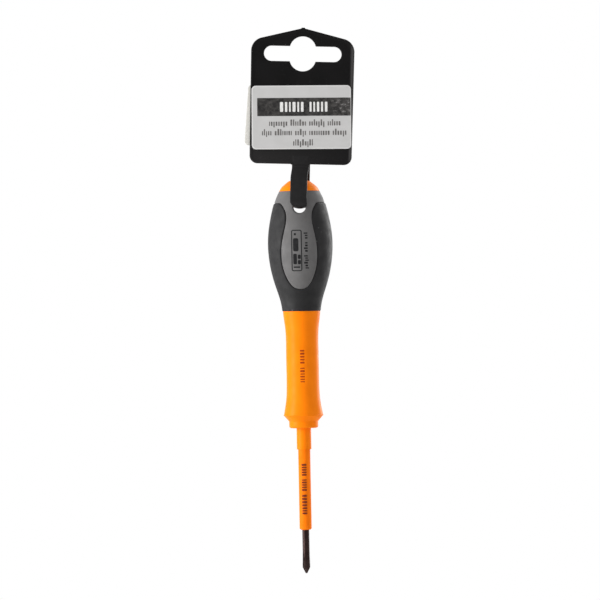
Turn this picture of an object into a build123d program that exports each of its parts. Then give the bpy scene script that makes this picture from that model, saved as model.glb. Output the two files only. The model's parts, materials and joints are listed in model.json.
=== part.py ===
from build123d import *
from math import asin, cos, radians, sin, sqrt, tan
import os

# An insulated cross-tip screwdriver hanging from its display tag, in millimetres.
# The origin is the blade's tip. +Z runs up the tool's axis and -Y is the front.

# ---- blade ----
SHANK_D = 2.9
BLADE_TOP = 104.0         # end of the bar, inside the handle
TIP_FLAT_D = 0.7          # blunt end of the cross tip
TIP_CONE_ANGLE = 26.5     # half angle of a cross tip
TIP_D = 3.14              # the tip is upset a little wider than the bar
TIP_LAND = 1.0            # straight stretch above the cone
TIP_FLARE_TOP = 8.5       # where the flare has died away
WING_T = 0.62             # thickness of the four driving wings
FLUTE_TILT = 6.5          # the flutes run out of the bar at this angle
RIB_T = 0.26              # small ribs between the driving wings
RIB_EDGE = [(0.25, 0.3), (0.95, 1.9), (1.2, TIP_FLARE_TOP)]
BAR_END_EDGE = 0.5
EAR_W = 5.2               # flattened ears that stop the bar turning in the handle
EAR_T = 1.7
EAR_Z = (86.0, 93.0)
EAR_EDGE = 0.8

# ---- insulating sleeve ----
SLEEVE_D = 5.0
SLEEVE_LOW = 18.0         # end of the bare tip
SLEEVE_TOP = 68.0         # inside the handle
SLEEVE_ROOT_D = 5.6       # thicker inside the handle
SLEEVE_EDGE = 0.5

# ---- handle: hard body ----
SNOUT_D = 6.0
SNOUT_LOW = 51.2
COLLAR_D = 12.0
COLLAR_Z = (60.0, 62.8)
COLLAR_EDGE = 0.9
GUARD_D = 16.4
GUARD_Z = 65.3
GUARD_RIM = 0.3           # rounding of the guard's edge
NECK = [(7.7, 67.5), (7.05, 71.6), (6.72, 78.0), (6.72, 90.0), (7.0, 102.2), (7.62, 107.1)]
NECK_TOP_R = 7.7
HANDLE_TOP = 162.3

# ---- handle: grip ----
GRIP_LOW = 108.3          # seam between the neck and the dark grip
WING_TOP = 152.9          # seam between the dark wings and the grey band
BAND_TOP = 157.9          # seam between the grey band and the orange dome
SHELL_T = 2.2             # thickness of the grey moulding
DARK_PROUD = 0.2          # the dark moulding stands proud of the grey one
GRIP = [(7.75, 108.3), (8.15, 111.3), (9.8, 117.1), (11.3, 122.0), (12.65, 128.6), (13.15, 136.1),
        (12.7, 142.7), (11.35, 149.3), (10.3, 153.4), (8.45, 157.6), (7.25, 159.6)]
DOME = [(5.35, 161.2), (0.0, HANDLE_TOP)]
WINDOW = [(8.6, WING_TOP), (7.1, 151.6), (6.1, 149.6), (5.7, 146.4), (6.5, 141.9), (7.8, 135.6),
          (8.0, 131.2), (7.13, 125.3), (5.0, 120.4), (2.9, 118.1), (0.0, 117.3)]
REACH = 40.0              # longer than anything it cuts

# ---- hanging hole ----
HOLE_Z = 151.2
HOLE_D = 5.0
HOLE_RIM = 0.8            # rounding of its mouth

# ---- hang tag ----
TAG_LEAN = 2.3            # the tag hangs askew, its top towards +X
PLATE_T = 1.0
PLATE_LOW = 169.0
PLATE_LOW_W = 42.2
PLATE_TOP_W = 42.8
PLATE_SIDE_TOP = 220.0
PLATE_PEAK = 225.3
PLATE_EDGE = 0.3
NUB_W = 1.6               # moulding gate left on the peak
NUB_T = 0.6
NUB_TOP = 225.4
SHOULDER_R = 5.6
FOOT_R = 3.3
PEG_Z = 214.6
PEG_D = 10.95
PEG_RISE = 1.72
SLOT_L = 32.0
SLOT_W = 6.25

# ---- labels ----
LABEL_T = 0.15
LABEL_W = 41.1
LABEL_H = 26.3
LABEL_R = 1.75
LABEL_Z = 188.4
FRONT_LABEL_TURN = -1.6
REAR_LABEL_X = -2.5
REAR_LABEL_Z = 188.1
REAR_LABEL_TURN = 2.6
REAR_LABEL_W = 40.6
REAR_LABEL_H = 25.2

# ---- strap ----
STRAP_W = 7.0
STRAP_T = 0.95
FOLD_Z = 167.7            # crease where the strap folds against the plate
FOLD_R = 0.75
BEND_R = 2.2              # bend at the foot of each leg
BEND_Y = 11.2
BEND_LOW = 151.65         # centre line of the strap where it enters the hole
BEND_CORNER_R = 2.4
CROSSING_R = 2.3          # the strap keeps within this radius in the hole
CROSSING_RISE = 0.55      # its lower corners are this far above the hole's centre
CAMBER = 0.95             # and its middle hangs this far lower
HANDLE_CLEAR_Y = 12.0     # full width only outside this
HANDLE_CLEAR_Z = 154.4
CLIP_T = 0.9
CLIP_Z = (169.7, 174.4)
CLIP_HEAD_W = 9.0
CLIP_HEAD_H = 2.4
CLIP_HEAD_R = 0.9


def turned(outline):
    """Solid of revolution about Z from an outline in (radius, height)."""
    return revolve(make_face((Plane.XZ * outline).edges()), Axis.Z)


def through(face):
    """Prism of a face drawn in (x, z), through everything from front to back."""
    return extrude(Plane.XZ * face, REACH, both=True)


def slab(low, high):
    """Everything between two heights."""
    return Pos(0, 0, (low + high) / 2) * Box(2 * REACH, 2 * REACH, high - low)


def leaned(shape):
    """Lean a piece of the tag about the hanging hole."""
    return Pos(0, 0, HOLE_Z) * Rot(0, TAG_LEAN, 0) * Pos(0, 0, -HOLE_Z) * shape


def make_blade():
    """The bar, with a cross tip cut by four flutes, small ribs between its wings, and ears."""
    shank_r = SHANK_D / 2
    cone_top = (TIP_D - TIP_FLAT_D) / 2 / tan(radians(TIP_CONE_ANGLE))
    outline = Polyline(
        (0, 0),
        (TIP_FLAT_D / 2, 0),
        (TIP_D / 2, cone_top),
        (TIP_D / 2, cone_top + TIP_LAND),
        (shank_r, TIP_FLARE_TOP),
        (shank_r, BLADE_TOP - BAR_END_EDGE),
        (shank_r - BAR_END_EDGE, BLADE_TOP),
        (0, BLADE_TOP),
        close=True,
    )
    blade = turned(outline)
    notch_centre = WING_T / 2 + TIP_D
    notch = Pos(notch_centre, notch_centre) * Rectangle(2 * TIP_D, 2 * TIP_D)
    lean_out = tan(radians(FLUTE_TILT)) / sqrt(2)
    flute = extrude(notch, 2 * TIP_FLARE_TOP, dir=(lean_out, lean_out, 1))
    for quarter in range(4):
        blade -= Rot(0, 0, 90 * quarter) * flute
    rib_core = turned(Polyline((0, RIB_EDGE[0][1]), *RIB_EDGE, (0, RIB_EDGE[-1][1]), close=True))
    for turn in (45, 135):
        blade += rib_core & (Rot(0, 0, turn) * Box(RIB_T, 2 * TIP_D, 4 * TIP_FLARE_TOP))
    low, high = EAR_Z
    ears = Pos(0, 0, (low + high) / 2) * Box(EAR_W, EAR_T, high - low)
    return blade + chamfer(ears.edges().filter_by(Axis.Y), EAR_EDGE)


def make_sleeve():
    """Insulating tube on the blade."""
    shaft_r = SLEEVE_D / 2
    root_r = SLEEVE_ROOT_D / 2
    bore_r = SHANK_D / 2
    outline = Polyline(
        (bore_r, SLEEVE_LOW),
        (shaft_r - SLEEVE_EDGE, SLEEVE_LOW),
        (shaft_r, SLEEVE_LOW + SLEEVE_EDGE),
        (shaft_r, SNOUT_LOW),
        (root_r, SNOUT_LOW),
        (root_r, SLEEVE_TOP),
        (bore_r, SLEEVE_TOP),
        close=True,
    )
    return turned(outline)


def grip_body(growth):
    """The grip up to the dome, with its surface moved outwards by growth."""
    side = Spline(*[(radius + growth, height) for radius, height in GRIP])
    top = GRIP[-1][1]
    ends = Polyline(side @ 1, (0, top), (0, GRIP_LOW), side @ 0)
    return turned(side + ends)


def make_neck():
    """Snout, collar, finger guard and neck, up to the grip's lower seam."""
    edge = COLLAR_EDGE
    collar_r = COLLAR_D / 2
    guard_r = GUARD_D / 2
    low_lines = Polyline(
        (0, GRIP_LOW),
        (0, SNOUT_LOW),
        (SNOUT_D / 2, SNOUT_LOW),
        (SNOUT_D / 2, COLLAR_Z[0]),
        (collar_r - edge, COLLAR_Z[0]),
    )
    collar_edge = RadiusArc((collar_r - edge, COLLAR_Z[0]), (collar_r, COLLAR_Z[0] + edge), -edge)
    collar_side = Polyline(
        (collar_r, COLLAR_Z[0] + edge),
        (collar_r, COLLAR_Z[1]),
        (guard_r - GUARD_RIM, GUARD_Z - GUARD_RIM),
    )
    rim_end = (guard_r - GUARD_RIM / 2, GUARD_Z + GUARD_RIM)
    rim = ThreePointArc(collar_side @ 1, (guard_r, GUARD_Z), rim_end)
    neck = Spline(rim @ 1, *NECK, (NECK_TOP_R, GRIP_LOW))
    top = Line(neck @ 1, (0, GRIP_LOW))
    return turned(low_lines + collar_edge + collar_side + rim + neck + top)


def make_dome():
    """Everything inside the handle's outer surface, above the grip's lower seam."""
    side = Spline(*GRIP, *DOME, tangents=[(0.12, 1), (-1, 0)])
    ends = Polyline((0, HANDLE_TOP), (0, GRIP_LOW), side @ 0)
    return turned(side + ends)


def make_window():
    """Prism of the two long windows, front and back, open upwards into the grey band."""
    right = Spline(*WINDOW, tangents=[(-1, 0), (-1, 0)])
    left = Spline(*[(-x, z) for x, z in WINDOW], tangents=[(1, 0), (1, 0)])
    corner_x = WINDOW[0][0]
    side_x = REACH / 2
    top = Polyline((corner_x, WING_TOP), (side_x, WING_TOP), (side_x, BAND_TOP + 1),
                   (-side_x, BAND_TOP + 1), (-side_x, WING_TOP), (-corner_x, WING_TOP))
    return through(make_face([*right.edges(), *left.edges(), *top.edges()]))


def make_hang_hole():
    """Cross hole through the handle, from front to back."""
    return Pos(0, 0, HOLE_Z) * Rot(90, 0, 0) * Cylinder(HOLE_D / 2, 2 * REACH)


def make_grey_shell():
    """The band under the dome and the two windows, with the hole's mouths rounded."""
    shell = (make_dome() - grip_body(-SHELL_T)) & slab(GRIP_LOW, BAND_TOP) & make_window()
    shell -= make_hang_hole()
    near_hole = Pos(0, 0, HOLE_Z) * Box(1.1 * HOLE_D, 2 * REACH, 1.1 * HOLE_D)
    mouths = shell.edges().filter_by(lambda edge: near_hole.is_inside(edge.center())).sort_by(Axis.Y)
    return fillet([mouths[0], mouths[-1]], HOLE_RIM)


def make_soft_grip():
    """The two dark wings and the ring that joins them under the windows."""
    shell = (grip_body(DARK_PROUD) - grip_body(-SHELL_T)) & slab(GRIP_LOW, WING_TOP)
    return shell - make_window()


def make_handle_core(blade, sleeve):
    """The hard body, moulded round the blade and its sleeve."""
    core = make_neck()
    core += make_dome() & slab(BAND_TOP, HANDLE_TOP + 1)
    core += grip_body(-SHELL_T) & slab(GRIP_LOW, BAND_TOP)
    core -= make_hang_hole()
    return core - sleeve - blade


def make_plate():
    """The tag's flat plate, with its peg hole and the gate nub on its peak."""
    low_x = PLATE_LOW_W / 2
    top_x = PLATE_TOP_W / 2
    corners = Polyline(
        (-low_x, PLATE_LOW),
        (low_x, PLATE_LOW),
        (top_x, PLATE_SIDE_TOP),
        (0, PLATE_PEAK),
        (-top_x, PLATE_SIDE_TOP),
        close=True,
    )
    outline = make_face(corners)
    outline = fillet(outline.vertices().group_by(Axis.Y)[-1], SHOULDER_R)
    shoulders = outline.vertices().filter_by_position(Axis.Y, PLATE_SIDE_TOP, PLATE_SIDE_TOP)
    outline = fillet(shoulders, SHOULDER_R)
    outline = fillet(outline.vertices().group_by(Axis.Y)[0], FOOT_R)
    for lobe_z in (PEG_Z - PEG_RISE, PEG_Z + PEG_RISE):
        outline -= Pos(0, lobe_z) * Circle(PEG_D / 2)
    outline -= Pos(0, PEG_Z) * SlotOverall(SLOT_L, SLOT_W)
    plate = extrude(Plane.XZ * outline, PLATE_T / 2, both=True)
    front_and_back = plate.faces().filter_by(Axis.Y)
    plate = chamfer([face.outer_wire().edges() for face in front_and_back], PLATE_EDGE)
    return plate + Pos(0, 0, NUB_TOP - NUB_W / 2) * Box(NUB_W, NUB_T, NUB_W)


def make_label(width, height, x, z, turn, face_y):
    """Thin rounded card lying on one face of the plate."""
    card = extrude(RectangleRounded(width, height, LABEL_R), LABEL_T)
    away = -90 if face_y > 0 else 90
    return Pos(x, face_y, z) * Rot(0, turn, 0) * Rot(away, 0, 0) * card


def make_clip():
    """The strap's free end, snapped on behind the plate."""
    low, high = CLIP_Z
    tongue = Pos(0, (low + high) / 2) * Rectangle(STRAP_W, high - low)
    head = Pos(0, high - CLIP_HEAD_H / 2) * RectangleRounded(CLIP_HEAD_W, CLIP_HEAD_H, CLIP_HEAD_R)
    clip = extrude(Plane.XZ * (tongue - head + head), -CLIP_T)
    return Pos(0, PLATE_T / 2, 0) * clip


def make_strap():
    """The loop: two legs from the fold, a bend at each foot, and the stretch through the hole."""
    bend_z = BEND_LOW + BEND_R
    rise = FOLD_Z - bend_z
    span = sqrt(BEND_Y**2 + rise**2)
    slope = asin(rise / span) - asin(BEND_R / span)
    bend_start = (-BEND_Y - BEND_R * sin(slope), bend_z + BEND_R * cos(slope))
    leg = Line((0, FOLD_Z), bend_start)
    bend = TangentArc(bend_start, (-BEND_Y, BEND_LOW), tangent=leg % 1)
    inward = Line(bend @ 1, (0, BEND_LOW))
    front_half = extrude(Plane.YZ * trace(leg + bend + inward, STRAP_T), STRAP_W / 2, both=True)
    band = front_half + mirror(front_half, Plane.XZ)
    band += Pos(0, 0, FOLD_Z) * Rot(0, 90, 0) * Cylinder(FOLD_R, STRAP_W)
    front_view = Pos(0, (BEND_LOW + FOLD_Z) / 2) * Rectangle(STRAP_W, FOLD_Z - BEND_LOW + 2 * STRAP_T)
    band &= through(fillet(front_view.vertices().group_by(Axis.Y)[0], BEND_CORNER_R))
    band -= Pos(0, 0, HOLE_Z) * Box(2 * REACH, 2 * HANDLE_CLEAR_Y, 2 * (HANDLE_CLEAR_Z - HOLE_Z))
    corners = [(-CROSSING_R, CROSSING_RISE), (CROSSING_R, CROSSING_RISE)]
    low_arc = ThreePointArc(corners[0], (0, CROSSING_RISE - CAMBER), corners[1])
    high_arc = Pos(0, STRAP_T) * low_arc
    sides = [Line(low_arc @ end, high_arc @ end) for end in (0, 1)]
    section = make_face([*low_arc.edges(), *high_arc.edges(), *sides]) & Circle(CROSSING_R)
    return band + extrude(Plane.XZ * Pos(0, HOLE_Z) * section, HANDLE_CLEAR_Y + STRAP_T / 2, both=True)


blade = make_blade()
sleeve = make_sleeve()
parts = {
    "blade": blade,
    "shaft_sleeve": sleeve,
    "handle_core": make_handle_core(blade, sleeve),
    "grey_shell": make_grey_shell(),
    "soft_grip": make_soft_grip(),
    "tag_plate": leaned(make_plate()),
    "tag_strap": leaned(make_strap()),
    "strap_clip": leaned(make_clip()),
    "front_label": leaned(make_label(LABEL_W, LABEL_H, 0, LABEL_Z, FRONT_LABEL_TURN, -PLATE_T / 2)),
    "rear_label": leaned(make_label(REAR_LABEL_W, REAR_LABEL_H, REAR_LABEL_X, REAR_LABEL_Z,
                                    REAR_LABEL_TURN, PLATE_T / 2)),
}

os.makedirs("parts", exist_ok=True)
for name, part in parts.items():
    export_step(part, f"parts/{name}.step")
    print(name, round(part.volume, 3))
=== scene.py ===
import json
import math
import random

import bpy
import numpy as np
from mathutils import Matrix, Vector
from mathutils.geometry import delaunay_2d_cdt


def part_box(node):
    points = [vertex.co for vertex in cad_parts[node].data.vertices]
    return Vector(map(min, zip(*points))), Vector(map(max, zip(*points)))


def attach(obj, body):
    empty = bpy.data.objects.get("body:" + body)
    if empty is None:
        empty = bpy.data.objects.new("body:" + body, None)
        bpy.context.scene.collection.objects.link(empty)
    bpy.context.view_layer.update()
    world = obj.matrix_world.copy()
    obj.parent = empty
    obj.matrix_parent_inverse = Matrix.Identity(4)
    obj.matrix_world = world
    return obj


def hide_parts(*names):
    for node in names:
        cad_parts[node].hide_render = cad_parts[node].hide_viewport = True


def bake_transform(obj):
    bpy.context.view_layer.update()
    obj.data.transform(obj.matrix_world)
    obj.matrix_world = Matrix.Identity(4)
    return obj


# Looks of an insulated screwdriver on its hang tag. Lengths are in millimetres until a mesh
# is made, and the frame is the CAD model's: +Z up the tool's axis, -Y the front.
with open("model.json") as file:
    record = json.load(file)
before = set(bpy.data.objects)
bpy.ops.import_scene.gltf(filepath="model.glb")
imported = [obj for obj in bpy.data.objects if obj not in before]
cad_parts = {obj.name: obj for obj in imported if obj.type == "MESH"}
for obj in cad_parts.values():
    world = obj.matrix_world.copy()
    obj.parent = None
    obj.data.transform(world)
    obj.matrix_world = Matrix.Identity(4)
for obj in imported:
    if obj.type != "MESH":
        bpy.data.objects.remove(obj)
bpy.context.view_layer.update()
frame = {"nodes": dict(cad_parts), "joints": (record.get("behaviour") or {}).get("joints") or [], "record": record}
MM = 0.001
rng = random.Random(7)

JOINTS = {joint["name"]: joint for joint in frame["joints"]}
MOUNTS = {mount["name"]: mount for mount in frame["record"]["mounts"]}
SIDE = math.pi / 2        # angle from the tool's front round to its side
HALF_TURN = np.array([-1, -1, 1])     # takes a place on the front round to the back
HOLE_Z = JOINTS["tool_swing"]["pos_m"][2] / MM
FOLD_AXIS = JOINTS["tag_fold"]["axis"]
TAG_LEAN = math.atan2(-FOLD_AXIS[2], FOLD_AXIS[0])
TAG = Matrix.Translation((0, 0, HOLE_Z)) @ Matrix.Rotation(TAG_LEAN, 4, "Y")

# ---- grip skins ----
GRIP_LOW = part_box("soft_grip")[0].z / MM
WING_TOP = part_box("soft_grip")[1].z / MM
BAND_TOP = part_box("grey_shell")[1].z / MM
WINDOW_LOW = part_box("grey_shell")[0].z / MM
WINDOW = [(0, WINDOW_LOW), (2.9, 118.1), (5.0, 120.4), (7.13, 125.3), (8.0, 131.2), (7.8, 135.6),
          (6.5, 141.9), (5.7, 146.4), (6.1, 149.6), (7.1, 151.6), (8.6, WING_TOP)]
RIGHT_SHARE = 0.88        # the window is this much narrower to the right of its middle
DARK_PROUD = 0.2          # the dark moulding stands this far above the grey one
GREY_EDGE = 0.42          # rounding of each moulding along the seam
DARK_EDGE = 0.6
LIP_EDGE = 0.4            # rounding of the dark moulding's lower edge
BAND_EDGE = 0.15          # rounding of the grey band's upper edge
SKIN_T = 2.15
STRAIGHT_X = 3.6          # the skin is cut straight back as far as this from the middle line
RADIAL_OVER = 3.4         # and turns square to its surface over this much
HOLE_R = 2.5
HOLE_RIM = 0.8            # rounding of the hole's mouth
# rows of points at these distances from the seam, the two ends of the skin and the hole
SEAM_ROWS = [0.02, 0.08, 0.17, 0.29, 0.44, 0.62, 0.85]
LIP_ROWS = [0, 0.05, 0.12, 0.22, 0.35, 0.55]
BAND_ROWS = [0, 0.05, 0.12, 0.25, 0.5]
HOLE_ROWS = [0, 0.06, 0.15, 0.28, 0.45, 0.65, 0.85]
WINDOW_POINTS = 90        # points along the seam beside the window
WING_POINTS = 12          # and from there to the side
END_POINTS = 30           # points along half a row at either end
HOLE_POINTS = 48
EDGE_POINTS = 56          # points up the side, where front and back meet
UNROLL_R = 10.0           # radius at which the grip's surface is unrolled
SKIN_GRID = 0.9
ROW_CLEARANCE = 0.35      # the grid's points stay this far from the rows
END_CLEARANCE = 0.5       # and this far inside the first and last of them
SIDE_CLEARANCE = 0.05     # and off the side by this angle
WING_CLEARANCE = 0.3      # the side's points stay this far from the seam's last row
GRIP_DEGREE = 9           # of the polynomial for the grip's profile

# ---- tag ----
PLATE_T = 1.0
PLATE_LOW = 169.0
PLATE_SIDE_TOP = 220.0
PLATE_PEAK = 225.3
PLATE_LOW_W = 42.2
PLATE_TOP_W = 42.8
SHOULDER_R = 5.6
FOOT_R = 3.3
TAB_W = 6.9
TAB_LOW = 168.2
TAB_R = 0.79
PEG_D = 10.95             # the peg hole is two round lobes
PEG_RISE = 1.72           # this far above and below a round-ended slot's middle
SLOT_L = 32.0
SLOT_W = 6.25
PEG = MOUNTS["peg_hole"]["pos_m"]
PEG_Z = HOLE_Z + math.dist((0, HOLE_Z * MM), (PEG[0], PEG[2])) / MM
PLATE_EDGE = 0.36
RIM_W = 0.85              # width of the raised rim
RIM_H = 0.13
RIM_STEP = 0.3            # width of the step down from the rim
EDGE_ROWS = [0, 0.08, 0.25, 0.55, 1]    # rows of points across a rounded edge, as shares of it
EDGE_CLEARANCE = 0.3      # a flat solid's grid stays this far from its rows
OUTLINE_STEP = 1.2        # longest run along the plate's outlines
PLATE_GRID = 1.4
NUB_W = 1.6               # the moulding's gate mark on the peak
NUB_Z = 224.65
NUB_T = 0.62
CLIP_HEAD_W = 9.0
CLIP_HEAD = 2.5           # height of the clip's wider head
CLIP_T = 0.9

# ---- strap ----
STRAP_W = 7.0
STRAP_T = 0.95
STRAP_CORNER = 0.28
STRAP_POINTS = 14         # points across each face of the strap
CURL = 0.12               # its edges bend this far inwards
CROSSING_CURL = 0.85
CROSSING_W = 4.0          # width where it goes through the hole
CROSSING_Z = HOLE_Z + 0.075
NARROW_FROM = 9.3         # along the strap from the middle of the hole
NARROW_TO = 14.8
BEND_R = 2.2
BEND_Y = 11.2
FOLD_Z = 167.8
FOLD_RADII = (1.2, 1.0)   # of the front leg and the rear one
LEG_ROOT = 4.6            # both legs end this far above the fold
LEG_GAP = 1.02            # the rear leg folds this far behind the front one
REAR_RISE = 0.5           # and this far above it
REAR_LEAN = 0.5           # it leans this far to the right above the hole
REAR_FROM = 14.8
REAR_OVER = 8
FRONT_LEAN = 0.5          # the front leg leans this far to the left between hole and foot
FRONT_FROM = 12.0
FRONT_OVER = 3
FOOT_FROM = 4.2           # and stands straight again at its foot
FOOT_OVER = 7.0

# ---- labels ----
FRONT_LABEL = {"size": (41.1, 26.3), "centre": (0, 188.4), "turn": -1.6, "face": -1}
REAR_LABEL = {"size": (40.6, 25.2), "centre": (-2.5, 188.1), "turn": 2.6, "face": 1}
LABEL_T = 0.15
LABEL_R = 1.75
LABEL_EDGE = 0.05
LABEL_RIM = 0.5           # width of the label's brighter edge
LABEL_GRID = 1.6
LABEL_WAVE = 0.02         # the paper's face is uneven by this much
WAVE_ACROSS = 0.31        # how fast it waves, in radians per millimetre
WAVE_UP = 0.42
BAND_SIZE = (38.6, 7.5)   # the dark printed band
BAND_CENTRE = (1.05, 4.3)
BAND_R = 0.15
# lines of print as (centre, length, height, foot, letter width) on the label
TITLE = [(1.1, 19.9, 4.1, 2.25, 2.2)]
LINES = [(1.5, 29.8, 2.6, -3.5, 1.2), (1.2, 35.1, 2.6, -7.4, 1.2), (1.7, 10.4, 2.6, -11.7, 1.2)]

# ---- prints ----
LABEL_INK_T = 0.03        # ink stands this far above what it is printed on
INK_T = 0.025
INK_SUNK = 0.04           # and reaches this far into it
# a word's bars, as shares of the letter's width and of the line's height
BAR_W = (0.3, 0.62)
BAR_GAP = 0.34
WORD_GAP = 0.8
BAR_HEIGHTS = [0.68, 0.68, 0.68, 1.0]
TAIL = 0.25               # how far a bar with a tail reaches under the line
TAIL_CHANCE = 0.12
WORD_LENGTHS = (4, 9)
# columns as (lowest height, highest height, place of the middle, width, letter width)
NECK_PRINT = (79.0, 92.9, -0.1, 1.8, 1.5)
SLEEVE_PRINT = (24.5, 46.0, -0.25, 2.1, 1.4)
NECK_LOW = 70             # the neck's radius is looked for between these heights
NECK_HIGH = 105
NECK_DEPTH = 1.5          # points this far under its largest radius are inside the handle
EMBLEM_SIZE = (4.4, 17.0)
EMBLEM_CENTRE = (-1.55, 133.25)
EMBLEM_R = 0.8
EMBLEM_LINE = 0.4         # width of the frame's line
# bars in the frame, as (left, right, foot, head)
EMBLEM_BARS = [(-3.0, -0.8, 132.9, 138.3), (-3.0, -1.5, 127.6, 131.9), (-1.1, 0.1, 127.6, 129.3),
               (-1.1, 0.1, 129.8, 131.5), (-2.9, -0.2, 126.1, 126.7), (-2.6, -1.7, 139.5, 140.4)]
# the column of print beside it as (middle's height, right side, length, width, letter width)
EMBLEM_PRINT = (133.4, 3.05, 15.2, 1.6, 1.25)

# ---- stage: lights in metres and watts, the floor in millimetres ----
LIGHT_AIM = (0, 0, 0.115)
# soft lights as (name, place, width and height, power)
LIGHTS = [("key", (-0.93, -0.33, 0.1), (0.35, 0.9), 15.5), ("back", (0.62, 0.75, 0.38), (0.3, 0.8), 6)]
FRONT_GLOW = 0.55         # the room is dimmer on the camera's side
SIDE_GLOW = 1.05
FRONT_LEVEL = -0.9        # directions whose Y is less than this are the front
SIDE_LEVEL = -0.1         # and those above this the sides
FLOOR_R = 600
FLOOR_Z = -60
FLOOR_POINTS = 96
CAMERA_DISTANCE = 2.0     # in metres
CAMERA_LENS = 290.4
CAMERA_AIM = (-0.55, 112.9)     # across and up, in millimetres
CAMERA_ROLL = -1.1        # in degrees


# ------------------------------------------------------------------ outlines
def curve_through(points, start, end, count):
    """Points along a smooth curve through points, with these directions at its two ends."""
    points = np.array(points, float)
    runs = np.linalg.norm(np.diff(points, axis=0), axis=1)
    last = len(points) - 1
    system = np.eye(last + 1)
    wanted = np.zeros((last + 1, 2))
    wanted[0], wanted[last] = start, end
    for i in range(1, last):
        before, after = runs[i - 1], runs[i]
        system[i, i - 1:i + 2] = after, 2 * (before + after), before
        to_point, from_point = points[i] - points[i - 1], points[i + 1] - points[i]
        wanted[i] = 3 * (after * to_point / before + before * from_point / after)
    slopes = np.linalg.solve(system, wanted)
    lengths = np.concatenate([[0], np.cumsum(runs)])
    places = np.linspace(0, lengths[-1], count)
    i = np.clip(np.searchsorted(lengths, places, side="right") - 1, 0, last - 1)
    run = runs[i][:, None]
    u = (places[:, None] - lengths[i][:, None]) / run
    from_start = (2 * u**3 - 3 * u**2 + 1) * points[i] + (u**3 - 2 * u**2 + u) * run * slopes[i]
    return from_start + (3 * u**2 - 2 * u**3) * points[i + 1] + (u**3 - u**2) * run * slopes[i + 1]


def rounded(corners, radii, step=0.4):
    """Points round a closed polygon whose corners are arcs of these radii."""
    points = []
    for i, radius in enumerate(radii):
        corner = Vector(corners[i])
        back = (Vector(corners[i - 1]) - corner).normalized()
        ahead = (Vector(corners[(i + 1) % len(corners)]) - corner).normalized()
        half = back.angle(ahead) / 2
        if not radius:
            points.append(corner)
            continue
        centre = corner + (back + ahead).normalized() * (radius / math.sin(half))
        first = corner + back * (radius / math.tan(half)) - centre
        last = corner + ahead * (radius / math.tan(half)) - centre
        turn = math.atan2(first.cross(last), first.dot(last))
        count = max(2, math.ceil(abs(turn) * radius / step))
        points += [centre + Matrix.Rotation(turn * k / count, 2) @ first for k in range(count + 1)]
    return np.array(points)


def rounded_box(width, height, radius, centre=(0, 0), step=0.4):
    """Points round a rectangle whose corners are arcs."""
    signs = ((-1, -1), (1, -1), (1, 1), (-1, 1))
    corners = [(centre[0] + a * width / 2, centre[1] + b * height / 2) for a, b in signs]
    return rounded(corners, [radius] * 4, step)


def arc(x, z, radius, start, end, count):
    """Points round part of a circle, from one angle to another."""
    return [(x + radius * math.cos(a), z + radius * math.sin(a)) for a in np.linspace(start, end, count)]


def densify(points, step, closed=True):
    """The same line with no run longer than step."""
    ends = np.roll(points, -1, axis=0) if closed else points[1:]
    out = []
    for a, b in zip(points, ends):
        count = max(1, math.ceil(np.linalg.norm(b - a) / step))
        out += [a + (b - a) * k / count for k in range(count)]
    if not closed:
        out.append(points[-1])
    return np.array(out)


def inset(points, distance):
    """A closed counter-clockwise line moved inwards."""
    ahead = np.roll(points, -1, axis=0) - points
    ahead /= np.linalg.norm(ahead, axis=1)[:, None]
    behind = np.roll(ahead, 1, axis=0)
    normal = np.stack([-(ahead + behind)[:, 1], (ahead + behind)[:, 0]], axis=1)
    normal /= np.linalg.norm(normal, axis=1)[:, None]
    lean = np.clip(normal[:, 0] * -ahead[:, 1] + normal[:, 1] * ahead[:, 0], 0.5, 1)
    return points + normal * (distance / lean)[:, None]


def inside(points, polygon):
    """Which points lie inside a polygon."""
    x, z = points[:, :1], points[:, 1:]
    ax, az = polygon[:, 0], polygon[:, 1]
    bx, bz = np.roll(ax, -1), np.roll(az, -1)
    crosses = (az > z) != (bz > z)
    rise = np.where(bz == az, 1, bz - az)
    return (crosses & (x < ax + (z - az) * (bx - ax) / rise)).sum(axis=1) % 2 == 1


def distance_to(points, line, closed=True, stretch=None):
    """Distance of each point from a line. stretch scales the first coordinate at each point."""
    ends = np.roll(line, -1, axis=0) if closed else line[1:]
    starts = line if closed else line[:-1]
    scale = np.ones((len(points), 2))
    if stretch is not None:
        scale[:, 0] = stretch
    best = np.full(len(points), 1e9)
    for a, b in zip(starts, ends):
        run = (b - a) * scale
        to_point = (points - a) * scale
        share = np.clip((to_point * run).sum(1) / np.maximum((run * run).sum(1), 1e-12), 0, 1)
        best = np.minimum(best, np.linalg.norm(to_point - run * share[:, None], axis=1))
    return best


def grid(low, high, step):
    """Points of a hexagonal grid that is symmetrical about x = 0."""
    points = []
    rows = max(1, int((high[1] - low[1]) / (step * 0.866)))
    for j in range(rows + 1):
        z = low[1] + (high[1] - low[1]) * j / rows
        half = int(max(abs(low[0]), abs(high[0])) / step) + 1
        shift = step / 2 if j % 2 else 0
        xs = [shift + k * step for k in range(half)]
        points += [(side * x, z) for x in xs for side in ((1, -1) if x > 0 else (1,))]
    points = np.array(points)
    return points[(points[:, 0] > low[0]) & (points[:, 0] < high[0])]


def triangulate(rows, loose=()):
    """Triangles over rows of points, each a (points, closed) pair kept as edges, and loose points."""
    points, edges = [], []
    for row, closed in rows:
        first = len(points)
        points += [Vector(p) for p in row]
        edges += [(first + i, first + i + 1) for i in range(len(row) - 1)]
        if closed:
            edges.append((first + len(row) - 1, first))
    points += [Vector(p) for p in loose]
    made = delaunay_2d_cdt(points, edges, [], 0, 1e-6)
    return np.array([tuple(p) for p in made[0]]), np.array([tuple(f) for f in made[2]])


def round_off(distance, radius):
    """How far a surface drops near an edge that is rounded to this radius."""
    short = np.clip(radius - distance, 0, radius)
    return radius - np.sqrt(radius**2 - short**2)


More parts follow.
